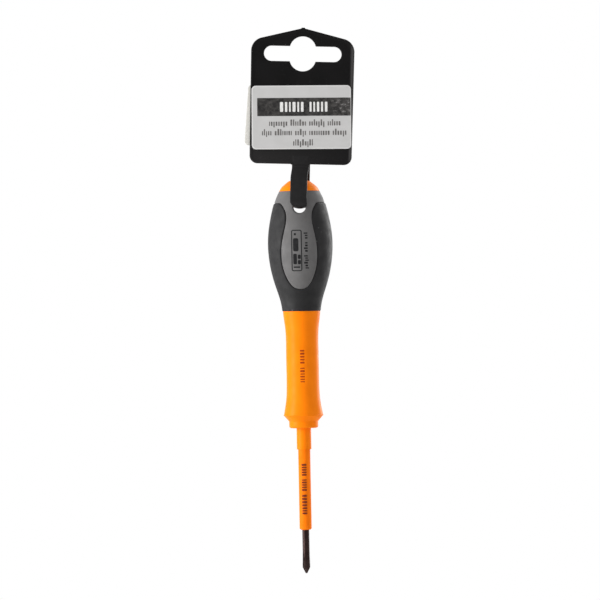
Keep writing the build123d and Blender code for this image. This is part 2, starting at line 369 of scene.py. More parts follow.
def smooth_step(x):
    """From 0 to 1 as x goes from 0 to 1, level at both ends."""
    x = np.clip(x, 0, 1)
    return x * x * (3 - 2 * x)


# ------------------------------------------------------------------ meshes
def new_piece(name, points, faces, materials, slots=None, sharp=40):
    """A smooth-shaded mesh object from points in millimetres."""
    mesh = bpy.data.meshes.new(name)
    places = [tuple(p) for p in np.asarray(points) * MM]
    mesh.from_pydata(places, [], [tuple(int(i) for i in face) for face in faces])
    for material in materials:
        mesh.materials.append(material)
    if slots is not None:
        mesh.polygons.foreach_set("material_index", np.asarray(slots, np.int32))
    mesh.polygons.foreach_set("use_smooth", np.ones(len(mesh.polygons), bool))
    mesh.set_sharp_from_angle(angle=math.radians(sharp))
    mesh.validate()
    mesh.update()
    piece = bpy.data.objects.new(name, mesh)
    bpy.context.scene.collection.objects.link(piece)
    return piece


def weld(outer, inner, faces):
    """Join points that coincide both outside and inside."""
    keys = {}
    new_index = []
    kept = []
    for i, place in enumerate(np.round(np.hstack([outer, inner]), 3) + 0.0):
        key = tuple(place)
        if key not in keys:
            keys[key] = len(kept)
            kept.append(i)
        new_index.append(keys[key])
    new_index = np.array(new_index)
    return outer[kept], inner[kept], new_index[faces]


def shell(outer, inner, faces, marks=None):
    """Points, faces and face marks of the closed solid between two surfaces with the same triangles."""
    used, back = np.unique(faces, return_inverse=True)
    faces = back.reshape(faces.shape)
    outer, inner = outer[used], inner[used]
    count = len(used)
    directed = {(f[i], f[(i + 1) % 3]) for f in faces for i in range(3)}
    walls = [(b, a, a + count, b + count) for a, b in sorted(directed) if (b, a) not in directed]
    all_faces = [tuple(f) for f in faces] + [tuple(f[::-1] + count) for f in faces] + walls
    if marks is None:
        marks = np.zeros(len(faces), int)
    all_marks = list(marks) + list(marks) + [0] * len(walls)
    return np.vstack([outer, inner]), all_faces, all_marks


def joined(solids):
    """Several (points, faces, marks) solids as one."""
    points, faces, marks = [], [], []
    for solid_points, solid_faces, solid_marks in solids:
        first = sum(len(p) for p in points)
        points.append(solid_points)
        faces += [tuple(i + first for i in face) for face in solid_faces]
        marks += solid_marks
    return np.vstack(points), faces, marks


def placed(matrix, points):
    """Points in millimetres moved by a rigid transform."""
    m = np.array(matrix)
    return points @ m[:3, :3].T + m[:3, 3]


def tag_place(points):
    """From the tag's own upright frame, with the tool's heights, to the object's frame."""
    return placed(TAG, points - np.array([0, 0, HOLE_Z]))


# ------------------------------------------------------------------ materials
MIDDLE = (0.35, 0.65)     # most of a noise texture's values lie in here
SCUFF_SIZE = 0.7          # width of a scuff, and of the patches that hold them
SCUFF_PATCH = 9.0
DUST_SPACING = 4.2        # about one speck in this distance
DUST_SPECK = (0.032, 0.016)     # it fades in between these radii, as shares of the spacing
WORN_TIP = 7.0            # the blade is rubbed brighter this far up
BAND_RUBBED = (2.0, 20.5)     # the band's ink gets thinner from here to here
PAINTED_SHEEN_FROM = 13.0          # painted sheen: the plate is painted lighter from this far above its foot, standing in for light it reflects
PAINTED_SHEEN_TO = 3.0
PAINTED_SHEEN_SIDE = 20.0          # most of all this far to the left of its middle
PAINTED_HIGHLIGHT_FROM = 19.5          # painted highlight: the plate's right edge is painted paler from here out, standing in for light caught by its rim
PAINTED_HIGHLIGHT_TO = 20.5


def feed(tree, socket, value):
    """Give a socket a link, a colour or a plain value."""
    if isinstance(value, bpy.types.NodeSocket):
        tree.links.new(value, socket)
    elif isinstance(value, tuple) and len(value) == 3 and socket.type == "RGBA":
        socket.default_value = (*value, 1)
    else:
        socket.default_value = value


def add(tree, kind, output=0, settings=None, **inputs):
    """A new node. inputs are socket names with spaces as underscores, or i0, i1 for sockets by number."""
    made = tree.nodes.new("ShaderNode" + kind)
    for key, value in (settings or {}).items():
        setattr(made, key, value)
    for key, value in inputs.items():
        socket = made.inputs[int(key[1:])] if key[1:].isdigit() else made.inputs[key.replace("_", " ")]
        feed(tree, socket, value)
    return made.outputs[output]


def place_of(tree, scale=(1, 1, 1)):
    """Object coordinates, in metres, scaled along each axis."""
    coordinates = tree.nodes.new("ShaderNodeTexCoord").outputs["Object"]
    return add(tree, "Mapping", Vector=coordinates, Scale=scale)


def tag_axis(tree, axis):
    """A point's coordinate along one of the tag's own axes, in metres from the middle of the hole."""
    hole = (0, 0, HOLE_Z * MM)
    direction = tuple(TAG.to_3x3() @ Vector(axis))
    away = add(tree, "VectorMath", settings={"operation": "SUBTRACT"}, i0=place_of(tree), i1=hole)
    return add(tree, "VectorMath", output=1, settings={"operation": "DOT_PRODUCT"}, i0=away, i1=direction)


def noise(tree, size_mm, detail=2.0, stretch=(1, 1, 1), roughness=0.5):
    """Noise whose lumps are about size_mm across."""
    return add(tree, "TexNoise", Vector=place_of(tree, stretch), Scale=1 / (size_mm * MM), Detail=detail,
               Roughness=roughness)


def spread(tree, value, low, high, to_low=0.0, to_high=1.0):
    """A value between low and high, mapped to lie between to_low and to_high."""
    return add(tree, "MapRange", Value=value, From_Min=low, From_Max=high, To_Min=to_low, To_Max=to_high)


def calc(tree, operation, a, b):
    """A sum, product and so on of two values, kept between 0 and 1 unless it is a difference."""
    settings = {"operation": operation, "use_clamp": operation != "SUBTRACT"}
    return add(tree, "Math", settings=settings, i0=a, i1=b)


def blend_colour(tree, factor, a, b):
    """Colour a where factor is 0 and b where it is 1."""
    return add(tree, "Mix", output=2, settings={"data_type": "RGBA"}, i0=factor, i6=a, i7=b)


def surface(name, base, other, rough, grain, depth, cloud=6.0, specular=0.5, scuff=0.0, scuff_colour=None,
            dust=0.0, metallic=0.0, scuff_stretch=(1, 1, 0.12)):
    """A moulded surface: cloudy colour, fine grain in relief, uneven gloss, scuffs and specks of dust.

    rough is the lowest and highest roughness. grain is the grain's size and depth its height, in
    millimetres.
    """
    material = bpy.data.materials.new(name)
    material.use_nodes = True
    tree = material.node_tree
    shader = tree.nodes["Principled BSDF"]
    mottling = spread(tree, noise(tree, cloud, 4.0), *MIDDLE)
    colour = blend_colour(tree, mottling, base, other)
    fine = noise(tree, grain, 3.0)
    gloss = spread(tree, noise(tree, cloud / 2, 3.0), *MIDDLE, *rough)
    if scuff:
        streaks = noise(tree, SCUFF_SIZE, 5.0, scuff_stretch, 0.65)
        patches = noise(tree, SCUFF_PATCH, 2.0)
        worn = calc(tree, "MULTIPLY", spread(tree, streaks, 0.6, 0.72), spread(tree, patches, 0.45, 0.65))
        worn = calc(tree, "MULTIPLY", worn, scuff)
        colour = blend_colour(tree, worn, colour, scuff_colour or other)
        gloss = calc(tree, "ADD", gloss, calc(tree, "MULTIPLY", worn, 0.3))
    if dust:
        specks = add(tree, "TexVoronoi", Vector=place_of(tree), Scale=1 / (DUST_SPACING * MM))
        bright = calc(tree, "MULTIPLY", spread(tree, specks, *DUST_SPECK), dust)
        colour = blend_colour(tree, bright, colour, (0.5, 0.5, 0.5))
    feed(tree, shader.inputs["Base Color"], colour)
    feed(tree, shader.inputs["Roughness"], gloss)
    shader.inputs["Metallic"].default_value = metallic
    shader.inputs["Specular IOR Level"].default_value = specular
    bump = add(tree, "Bump", Strength=1.0, Distance=depth * MM, Height=fine)
    feed(tree, shader.inputs["Normal"], bump)
    return material


def opened(material):
    """A surface's node tree, its shader and the socket that its colour comes from."""
    tree = material.node_tree
    shader = tree.nodes["Principled BSDF"]
    return tree, shader, shader.inputs["Base Color"].links[0].from_socket


def make_blade_steel():
    """Blackened steel with fine turned rings, worn brighter at the tip."""
    material = surface("blackened_steel", (0.015, 0.007, 0.0065), (0.03, 0.016, 0.014), (0.3, 0.45),
                       0.12, 0.004, cloud=2.0, metallic=0.85)
    tree, shader, colour = opened(material)
    rings = noise(tree, 0.25, 2.0, (0.02, 0.02, 1))
    height = add(tree, "SeparateXYZ", output=2, Vector=place_of(tree))
    patches = spread(tree, noise(tree, 0.8, 4.0), 0.3, 0.7)
    wear = calc(tree, "MULTIPLY", spread(tree, height, WORN_TIP * MM, 0.0), patches)
    ringed = blend_colour(tree, spread(tree, rings, 0.3, 0.7, 0.0, 0.35), colour, (0.042, 0.024, 0.022))
    feed(tree, shader.inputs["Base Color"], blend_colour(tree, wear, ringed, (0.062, 0.043, 0.04)))
    bump = add(tree, "Bump", Strength=0.6, Distance=0.01 * MM, Height=rings)
    feed(tree, shader.inputs["Normal"], bump)
    return material


def make_band_print():
    """The label's dark printed band: mottled ink, rubbed lighter at its right end."""
    material = surface("band_print", (0.015, 0.014, 0.014), (0.05, 0.047, 0.045), (0.5, 0.65),
                       0.3, 0.006, cloud=1.4, specular=0.2)
    tree, shader, colour = opened(material)
    coarse = noise(tree, 1.1, 6.0, (0.7, 1, 1.2), 0.7)
    across = add(tree, "SeparateXYZ", output=0, Vector=place_of(tree))
    limit = spread(tree, across, BAND_RUBBED[0] * MM, BAND_RUBBED[1] * MM, 0.68, 0.5)
    rubbed = spread(tree, calc(tree, "SUBTRACT", coarse, limit), 0.0, 0.12, 0.0, 0.5)
    feed(tree, shader.inputs["Base Color"], blend_colour(tree, rubbed, colour, (0.3, 0.29, 0.285)))
    return material


def make_plate_plastic():
    """Scuffed black plastic, with a painted sheen that lightens it towards the foot, most on the left, and a
    painted highlight along its right edge.
    """
    material = surface("plate_plastic", (0.0048, 0.0044, 0.0046), (0.0025, 0.0023, 0.0024), (0.38, 0.52),
                       0.3, 0.008, cloud=9.0, specular=0.12, scuff=0.5, scuff_colour=(0.03, 0.03, 0.03),
                       scuff_stretch=(1, 1, 0.6))
    tree, shader, colour = opened(material)
    across, up = tag_axis(tree, (1, 0, 0)), tag_axis(tree, (0, 0, 1))
    foot = PLATE_LOW - HOLE_Z
    # painted sheen: lighter towards the foot and most on the left, standing in for the key light that the flat
    # plate reflects
    low = spread(tree, up, (foot + PAINTED_SHEEN_FROM) * MM, (foot + PAINTED_SHEEN_TO) * MM)
    to_left = spread(tree, across, PAINTED_SHEEN_SIDE * MM, -PAINTED_SHEEN_SIDE * MM, 0.15, 0.8)
    painted_sheen = calc(tree, "MULTIPLY", low, to_left)
    sheened_colour = blend_colour(tree, painted_sheen, colour, (0.02, 0.019, 0.0192))
    # painted highlight: a paler right edge standing in for light caught by the plate's rim
    edge = spread(tree, across, PAINTED_HIGHLIGHT_FROM * MM, PAINTED_HIGHLIGHT_TO * MM, 0.0, 0.8)
    feed(tree, shader.inputs["Base Color"], blend_colour(tree, edge, sheened_colour, (0.045, 0.043, 0.043)))
    return material


WORN_ORANGE = (0.95, 0.27, 0.01)
ORANGE = surface("handle_plastic", (0.92, 0.212, 0.003), (0.87, 0.195, 0.002), (0.33, 0.45), 0.5, 0.006,
                 scuff=0.35, scuff_colour=WORN_ORANGE, specular=0.05)
SLEEVE = surface("sleeve_plastic", (0.92, 0.19, 0.004), (0.84, 0.17, 0.003), (0.45, 0.58), 0.35, 0.01,
                 scuff=0.4, scuff_colour=WORN_ORANGE, specular=0.04)
GREY = surface("grey_rubber", (0.125, 0.122, 0.122), (0.108, 0.105, 0.105), (0.55, 0.7), 0.22, 0.03,
               specular=0.2, dust=0.25)
DARK = surface("dark_rubber", (0.0175, 0.0172, 0.0178), (0.013, 0.0128, 0.0134), (0.55, 0.68), 0.22, 0.04,
               specular=0.2, dust=0.6)
STRAP = surface("strap_plastic", (0.0125, 0.0118, 0.012), (0.010, 0.0096, 0.0098), (0.5, 0.62),
                0.35, 0.02, cloud=5.0, specular=0.15, scuff=0.4, scuff_colour=(0.035, 0.033, 0.033))
SILVER = surface("silver_label", (0.48, 0.475, 0.473), (0.455, 0.45, 0.446), (0.38, 0.5), 0.25, 0.006,
                 cloud=7.0)
SILVER_RIM = surface("silver_rim", (0.57, 0.565, 0.56), (0.54, 0.535, 0.53), (0.38, 0.5), 0.25, 0.006)
CREAM = surface("cream_label", (0.6, 0.587, 0.55), (0.575, 0.562, 0.525), (0.6, 0.75), 0.3, 0.01,
                cloud=5.0)
LIGHT_INK = surface("light_ink", (0.72, 0.71, 0.7), (0.6, 0.59, 0.58), (0.4, 0.55), 0.3, 0.004,
                    cloud=1.0)
GREY_INK = surface("grey_ink", (0.075, 0.07, 0.068), (0.14, 0.13, 0.125), (0.45, 0.6), 0.3, 0.004,
                   cloud=1.0)
RED_INK = surface("red_ink", (0.26, 0.03, 0.004), (0.38, 0.055, 0.004), (0.45, 0.6), 0.25, 0.004,
                  cloud=0.8, specular=0.1)
PLUM_INK = surface("plum_ink", (0.12, 0.018, 0.01), (0.2, 0.04, 0.01), (0.45, 0.6), 0.25, 0.004,
                   cloud=0.8, specular=0.1)
GRIP_INK = surface("grip_ink", (0.011, 0.011, 0.012), (0.018, 0.018, 0.019), (0.45, 0.6), 0.25, 0.004,
                   cloud=1.0, specular=0.1)
STEEL = make_blade_steel()
BAND = make_band_print()
PLATE = make_plate_plastic()


def dress(node, material):
    """Give a CAD node its material."""
    mesh = frame["nodes"][node].data
    mesh.materials.clear()
    mesh.materials.append(material)


# ------------------------------------------------------------------ grip
def outermost(proud, digits, low=-math.inf, high=math.inf):
    """Heights and radii of the outermost points of round nodes, one at each level.

    proud gives how far each node stands above the surface that is looked for.
    """
    levels = {}
    for node, rise in proud.items():
        for vertex in frame["nodes"][node].data.vertices:
            x, y, z = vertex.co / MM
            radius = math.hypot(x, y) - rise
            level = round(z, digits)
            if low < z < high and radius > levels.get(level, (0, 0))[1]:
                levels[level] = (z, radius)
    return np.array([levels[level] for level in sorted(levels)])


# a polynomial for the grey surface's radius at each height, which the dark one follows
HEIGHTS, RADII = outermost({"grey_shell": 0, "soft_grip": DARK_PROUD}, 0).T
RADIUS = np.polynomial.Polynomial.fit(HEIGHTS, RADII, GRIP_DEGREE)


def half_seam(share):
    """The seam in (angle, height) from the window's foot to the wing's end at one side."""
    window = curve_through(WINDOW, (1, 0), (1, 0), WINDOW_POINTS)
    angles = np.arcsin(np.clip(share * window[:, 0] / RADIUS(window[:, 1]), -1, 1))
    top = [(a, WING_TOP) for a in np.linspace(angles[-1], SIDE, WING_POINTS)[1:]]
    return np.vstack([np.stack([angles, window[:, 1]], axis=1), top])


def offset_seam(seam, distance):
    """The seam moved sideways along the surface, towards the grey side if distance is positive."""
    run = np.gradient(seam, axis=0)
    run[:, 0] *= RADIUS(seam[:, 1])
    run /= np.linalg.norm(run, axis=1)[:, None]
    run[0] = run[-1] = (1, 0)
    moved = seam.copy()
    moved[:, 0] -= run[:, 1] * distance / RADIUS(seam[:, 1])
    moved[:, 1] += run[:, 0] * distance
    moved[0, 0] = 0
    moved[-1, 0] = SIDE
    return moved


def both_sides(right, left):
    """A row across the front from two halves that start on its middle line, the left one mirrored."""
    other = left[:0:-1].copy()
    other[:, 0] *= -1
    return np.vstack([other, right])


def grip_net(right, left, seam):
    """Points in (angle, height) over the grip's front half, and triangles."""
    rows = []
    for distance in SEAM_ROWS:
        for sign in (1, -1):
            moved = [offset_seam(half, sign * distance) for half in (right, left)]
            rows.append((both_sides(*moved), False))
    low_rows = [GRIP_LOW + distance for distance in LIP_ROWS]
    high_rows = [BAND_TOP - distance for distance in BAND_ROWS]
    for z in low_rows + high_rows:
        half = np.array([(angle, z) for angle in np.linspace(0, SIDE, END_POINTS)])
        rows.append((both_sides(half, half), False))
    turns = np.linspace(0, 2 * math.pi, HOLE_POINTS + 1)[:-1]
    for ring in HOLE_ROWS:
        x, z = (HOLE_R + ring) * np.sin(turns), HOLE_Z + (HOLE_R + ring) * np.cos(turns)
        rows.append((np.stack([np.arcsin(x / RADIUS(z)), z], axis=1), True))
    edge_levels = np.linspace(low_rows[-1], high_rows[-1], EDGE_POINTS)
    edge_levels = edge_levels[np.abs(edge_levels - WING_TOP) > SEAM_ROWS[-1] + WING_CLEARANCE]
    edges = [(sign * SIDE, z) for z in edge_levels for sign in (1, -1)]
    reach = SIDE * UNROLL_R
    low, high = low_rows[-1] + END_CLEARANCE, high_rows[-1] - END_CLEARANCE
    loose = grid((-reach, low), (reach, high), SKIN_GRID)
    loose[:, 0] /= UNROLL_R
    clear = distance_to(loose, seam, False, RADIUS(loose[:, 1])) > SEAM_ROWS[-1] + ROW_CLEARANCE
    hole_distance = np.hypot(RADIUS(loose[:, 1]) * np.sin(loose[:, 0]), loose[:, 1] - HOLE_Z)
    clear &= hole_distance > HOLE_R + HOLE_ROWS[-1] + ROW_CLEARANCE
    clear &= np.abs(loose[:, 0]) < SIDE - SIDE_CLEARANCE
    unrolled = np.array([UNROLL_R, 1])
    flat_rows = [(row * unrolled, closed) for row, closed in rows]
    points, faces = triangulate(flat_rows, np.array([*loose[clear], *edges]) * unrolled)
    return points / unrolled, faces


def grip_skin(name, node, material, points, faces, seam, grey):
    """One moulding of the grip, front and back, as a closed skin."""
    angle, z = points[:, 0], points[:, 1]
    radius = RADIUS(z)
    seam_distance = distance_to(points, seam, False, radius)
    x = radius * np.sin(angle)
    from_hole = np.hypot(x, z - HOLE_Z) - HOLE_R
    if grey:
        height = -round_off(seam_distance, GREY_EDGE) - round_off(BAND_TOP - z, BAND_EDGE)
    else:
        height = DARK_PROUD - round_off(seam_distance, DARK_EDGE) - round_off(z - GRIP_LOW, LIP_EDGE)
    raised = radius + height
    outer = np.stack([raised * np.sin(angle), -raised * np.cos(angle), z], axis=1)
    if grey:
        outer[:, 1] += round_off(from_hole, HOLE_RIM)
    narrowing = smooth_step((np.abs(x) - STRAIGHT_X) / RADIAL_OVER) * SKIN_T / radius
    inner_x = x * (1 - narrowing)
    inner_y = -np.sqrt(np.maximum((radius - SKIN_T)**2 - inner_x**2, 0))
    inner = np.stack([inner_x, inner_y, z], axis=1)
    outer, inner = np.vstack([outer, outer * HALF_TURN]), np.vstack([inner, inner * HALF_TURN])
    faces = np.vstack([faces, faces + len(points)])
    skin_points, skin_faces, _ = shell(*weld(outer, inner, faces))
    piece = new_piece(name, skin_points, skin_faces, [material])
    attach(piece, "tool")
    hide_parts(node)


def make_grip():
    """The grey moulding with its windows and band, and the dark one round it, with a hairline between."""
    right, left = half_seam(RIGHT_SHARE), half_seam(1)
    seam = both_sides(right, left)
    points, faces = grip_net(right, left, seam)
    angle, z = points[faces].mean(axis=1).T
    windows = [half[:WINDOW_POINTS] for half in (right, left)]
    widths = [np.interp(z, window[:, 1], window[:, 0], left=-1) for window in windows]
    is_grey = (z > WING_TOP) | (np.abs(angle) < np.where(angle > 0, *widths))
    off_seam = distance_to(np.stack([angle, z], axis=1), seam, False, RADIUS(z)) > SEAM_ROWS[0] * 0.6
    off_hole = np.hypot(RADIUS(z) * np.sin(angle), z - HOLE_Z) > HOLE_R
    grey_faces, dark_faces = faces[is_grey & off_seam & off_hole], faces[~is_grey & off_seam]
    grip_skin("grey_moulding", "grey_shell", GREY, points, grey_faces, seam, True)
    grip_skin("dark_moulding", "soft_grip", DARK, points, dark_faces, seam, False)


# ------------------------------------------------------------------ tag
def flat_solid(outline, holes, thickness, edge, step, rim_w=0.0, rim_h=0.0, mark_box=None):
    """A flat closed solid in (x, depth, z) with rounded edges and, if asked, a raised rim."""
    insets = [edge * share for share in EDGE_ROWS]
    rim_rows = [rim_w, rim_w + RIM_STEP / 2, rim_w + RIM_STEP] if rim_w else []
    rows = [(inset(outline, d), True) for d in insets + rim_rows]
    rows += [(inset(hole, -d), True) for hole in holes for d in insets]
    if mark_box is not None:
        rows.append((mark_box, True))
    low, high = outline.min(axis=0), outline.max(axis=0)
    middle = np.array([(low[0] + high[0]) / 2, 0])
    loose = grid(low - middle, high - middle, step) + middle
    borders = [outline, *holes]
    clearance = max(insets + rim_rows) + EDGE_CLEARANCE
    near = np.min([distance_to(loose, border) for border in borders], axis=0)
    loose = loose[inside(loose, outline) & (near > clearance)]
    points, faces = triangulate(rows, loose)
    centres = points[faces].mean(axis=1)
    keep = inside(centres, outline)
    for hole in holes:
        keep &= ~inside(centres, hole)
    faces, centres = faces[keep], centres[keep]
    distance = np.min([distance_to(points, border) for border in borders], axis=0)
    drop = round_off(distance, edge)
    if rim_w:
        drop += rim_h * smooth_step((distance_to(points, outline) - rim_w) / RIM_STEP)
    half = thickness / 2 - drop
    front = np.stack([points[:, 0], -half, points[:, 1]], axis=1)
    back = np.stack([points[:, 0], half, points[:, 1]], axis=1)
    marks = inside(centres, mark_box).astype(int) if mark_box is not None else None
    return shell(front, back, faces, marks)


def peg_hole():
    """The outline of the hole that it all hangs by: a slot's end and a lobe, and then both turned."""
    slot_r, lobe_r = SLOT_W / 2, PEG_D / 2
    start = math.asin((slot_r - PEG_RISE) / lobe_r)
    half = arc((SLOT_L - SLOT_W) / 2, 0, slot_r, -math.pi / 2, math.pi / 2, 20)
    half += arc(0, PEG_RISE, lobe_r, start, math.pi - start, 40)
    turned = [Matrix.Rotation(turn, 2) @ Vector(p) for turn in (0, math.pi) for p in half]
    return densify(np.array(turned) + np.array([0, PEG_Z]), OUTLINE_STEP)


def make_plate():
    """The hang tag's plate, with its tab at the foot and its gate nub on the peak."""
    low_x, top_x, tab_x = PLATE_LOW_W / 2, PLATE_TOP_W / 2, TAB_W / 2
    corners = [(-low_x, PLATE_LOW), (-tab_x, PLATE_LOW), (-tab_x, TAB_LOW), (tab_x, TAB_LOW),
               (tab_x, PLATE_LOW), (low_x, PLATE_LOW), (top_x, PLATE_SIDE_TOP), (0, PLATE_PEAK),
               (-top_x, PLATE_SIDE_TOP)]
    radii = [FOOT_R, TAB_R, 0, 0, TAB_R, FOOT_R, SHOULDER_R, SHOULDER_R, SHOULDER_R]
    outline = densify(rounded(corners, radii), OUTLINE_STEP)
    plate = flat_solid(outline, [peg_hole()], PLATE_T, PLATE_EDGE, PLATE_GRID, RIM_W, RIM_H)
    nub = flat_solid(rounded_box(NUB_W, NUB_W, 0.3, (0, NUB_Z), 0.15), [], NUB_T, 0.12, 0.5)
    points, faces, _ = joined([plate, nub])
    piece = new_piece("plate_moulding", tag_place(points), faces, [PLATE])
    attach(piece, "tag")
    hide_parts("tag_plate")


def make_clip():
    """The strap's free end, which snaps on behind the plate."""
    low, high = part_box("strap_clip")[0].z / MM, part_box("strap_clip")[1].z / MM
    head_low = high - CLIP_HEAD
    x, head_x = TAB_W / 2, CLIP_HEAD_W / 2
    corners = [(-x, low), (x, low), (x, head_low), (head_x, head_low), (head_x, high), (-head_x, high),
               (-head_x, head_low), (-x, head_low)]
    outline = densify(rounded(corners, [0.4, 0.4, 0.3, 0.5, 0.8, 0.8, 0.5, 0.3], 0.2), 0.8)
    points, faces, _ = flat_solid(outline, [], CLIP_T, 0.3, 0.8)
    points[:, 1] += PLATE_T / 2 + CLIP_T / 2
    piece = new_piece("clip_moulding", tag_place(points), faces, [STRAP])
    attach(piece, "tag")
    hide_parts("strap_clip")


def strap_line():
    """The strap's middle line in (depth, height): down in front, through the hole and up behind."""
    bend_z = CROSSING_Z + BEND_R
    span = math.hypot(BEND_Y, FOLD_Z - bend_z)
    slope = math.asin((FOLD_Z - bend_z) / span) - math.asin(BEND_R / span)
    corner_y = (FOLD_Z - CROSSING_Z) / math.tan(slope)
    corners = [(0, FOLD_Z + LEG_ROOT), (0, FOLD_Z), (-corner_y, CROSSING_Z), (corner_y, CROSSING_Z),
               (LEG_GAP, FOLD_Z + REAR_RISE), (LEG_GAP, FOLD_Z + LEG_ROOT)]
    radii = [0, FOLD_RADII[0], BEND_R, BEND_R, FOLD_RADII[1], 0]
    return densify(rounded(corners, radii, 0.25), 0.6, False)


def strap_section():
    """The strap's outline as (across, to its outside, round its corner), each from -1 to 1."""
    turns = np.radians([30, 60, 90, 120, 150])
    section = []
    for side in (1, -1):
        section += [(side * x, side, 0) for x in np.linspace(-1, 1, STRAP_POINTS)]
        section += [(side, side * math.cos(a), side * math.sin(a)) for a in turns]
    return section


def make_strap():
    """The loop: a band that narrows and curls where it goes through the handle's hole."""
    line, section = strap_line(), strap_section()
    run = np.gradient(line, axis=0)
    run /= np.linalg.norm(run, axis=1)[:, None]
    out = np.stack([run[:, 1], -run[:, 0]], axis=1)
    lengths = np.concatenate([[0], np.cumsum(np.linalg.norm(np.diff(line, axis=0), axis=1))])
    at_hole = line[:, 1] < HOLE_Z + HOLE_R
    crossing = np.argmin(np.where(at_hole, np.abs(line[:, 0]), np.inf))
    past = lengths - lengths[crossing]
    narrow = 1 - smooth_step((np.abs(past) - NARROW_FROM) / (NARROW_TO - NARROW_FROM))
    half_w = STRAP_W / 2 + (CROSSING_W - STRAP_W) / 2 * narrow
    curl = CURL + (CROSSING_CURL - CURL) * narrow
    rear = smooth_step((past - REAR_FROM) / REAR_OVER)
    front = smooth_step((-past - FRONT_FROM) / FRONT_OVER)
    front *= smooth_step((lengths - FOOT_FROM) / FOOT_OVER)
    lean = REAR_LEAN * rear - FRONT_LEAN * front
    points = []
    for place, normal, half, bow, shift in zip(line, out, half_w, curl, lean):
        for across, side, bulge in section:
            x = across * (half - STRAP_CORNER) + bulge * STRAP_CORNER
            spot = place + normal * (side * STRAP_T / 2 - bow * (x / half)**2)
            points.append((x + shift, spot[0], spot[1]))
    count = len(section)
    rings = [range(first, first + count) for first in range(0, len(points), count)]
    faces = [(ring[j - 1], ring[j], after[j], after[j - 1])
             for ring, after in zip(rings, rings[1:]) for j in range(count)]
    faces += [tuple(rings[0])[::-1], tuple(rings[-1])]
    piece = new_piece("strap_moulding", tag_place(np.array(points)), faces, [STRAP])
    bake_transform(piece)
    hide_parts("tag_strap")


# ------------------------------------------------------------------ labels and prints
def label_place(label, points):
    """From a label's own frame, its outside towards -Y, to the object's frame."""
    turn = Matrix.Rotation(math.radians(label["turn"]), 4, "Y")
    x, z = label["centre"]
    face_y = label["face"] * PLATE_T / 2
    spots = np.array(points, float)
    if label["face"] > 0:
        spots = spots * HALF_TURN
    return tag_place(placed(turn, spots) + np.array([x, face_y, z]))


def words(width, height, unit, low=0.0, even=False):
    """Stand-ins for words: rows of short bars, as (left, right, foot, head), that spell nothing."""
    bars, x = [], -width / 2
    while x < width / 2 - unit:
        for _ in range(rng.randint(*WORD_LENGTHS)):
            bar = unit * rng.uniform(*BAR_W)
            head = height if even else height * rng.choice(BAR_HEIGHTS)
            foot = low if even or rng.random() > TAIL_CHANCE else low - TAIL * height
            if x + bar > width / 2:
                break
            bars.append((x, x + bar, foot, low + head))
            x += bar + unit * BAR_GAP
        x += unit * WORD_GAP
    return bars


def bar_solid(bar, place, thick=INK_T, step=0.5):
    """One inked bar, laid on a surface by place(points, lift)."""
    left, right, foot, head = bar
    size = np.array([right - left, head - foot])
    middle = np.array([left + right, foot + head]) / 2
    radius = min(size) * 0.25
    outline = densify(rounded_box(size[0], size[1], radius, middle, radius), step)
    loose = grid(-size / 2, size / 2, step) + middle
    loose = loose[inside(loose, outline) & (distance_to(loose, outline) > step / 3)]
    points, faces = triangulate([(outline, True)], loose)
    faces = faces[inside(points[faces].mean(axis=1), outline)]
    return shell(place(points, thick), place(points, -INK_SUNK), faces)


def make_label(name, node, label, material, inked):
    """A paper label with its printed band and stand-ins for its words."""
    width, height = label["size"]
    outline = densify(rounded_box(width, height, LABEL_R), 1.0)
    band = densify(rounded_box(*BAND_SIZE, BAND_R, BAND_CENTRE), 1.0) if inked else None
    points, faces, marks = flat_solid(outline, [], LABEL_T, LABEL_EDGE, LABEL_GRID, LABEL_RIM, 0.0, band)
    lift = LABEL_WAVE * np.sin(points[:, 0] * WAVE_ACROSS + 1) * np.cos(points[:, 2] * WAVE_UP)
    points[:, 1] += -LABEL_T / 2 + np.where(points[:, 1] < 0, lift, 0)
    if inked:
        centres = np.array([points[list(face)].mean(axis=0) for face in faces])
        at_rim = distance_to(centres[:, [0, 2]], outline) < LABEL_RIM
        marks = np.where(at_rim & (np.array(marks) == 0), 2, marks)
    materials = [material, BAND, SILVER_RIM] if inked else [material]
    card = new_piece(name, label_place(label, points), faces, materials, marks)
    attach(card, "tag")
    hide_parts(node)
    if inked:
        print_lines("title_print", LIGHT_INK, label, TITLE, True)
        print_lines("label_print", GREY_INK, label, LINES, False)


def print_lines(name, ink, label, lines, even):
    """Lines of print on a label, as one piece."""
    def place(spots, up):
        lifted = np.stack([spots[:, 0], np.full(len(spots), -LABEL_T - up), spots[:, 1]], axis=1)
        return label_place(label, lifted)

    bars = []
    for centre, length, tall, foot, unit in lines:
        for left, right, low, high in words(length, tall, unit, foot, even):
            bars.append((left + centre, right + centre, low, high))
    points, faces, _ = joined([bar_solid(bar, place, LABEL_INK_T) for bar in bars])
    printed = new_piece(name, points, faces, [ink])
    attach(printed, "tag")


def wrapped(along, z, radius, up):
    """Places on the front of a round surface, this far along its girth and at height z, lifted by up."""
    angle = along / radius
    return np.stack([(radius + up) * np.sin(angle), -(radius + up) * np.cos(angle), z], axis=1)


def make_column(name, ink, radius_at, z_low, z_high, x, width, unit):
    """A column of print that reads upwards on the front of a round surface."""
    def place(spots, up):
        z = spots[:, 0] + (z_low + z_high) / 2
        return wrapped(x + width / 2 - spots[:, 1], z, radius_at(z), up)

    bars = words(z_high - z_low, width, unit, even=True)
    points, faces, _ = joined([bar_solid(bar, place, step=0.35) for bar in bars])
    piece = new_piece(name, points, [face[::-1] for face in faces], [ink])
    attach(piece, "tool")


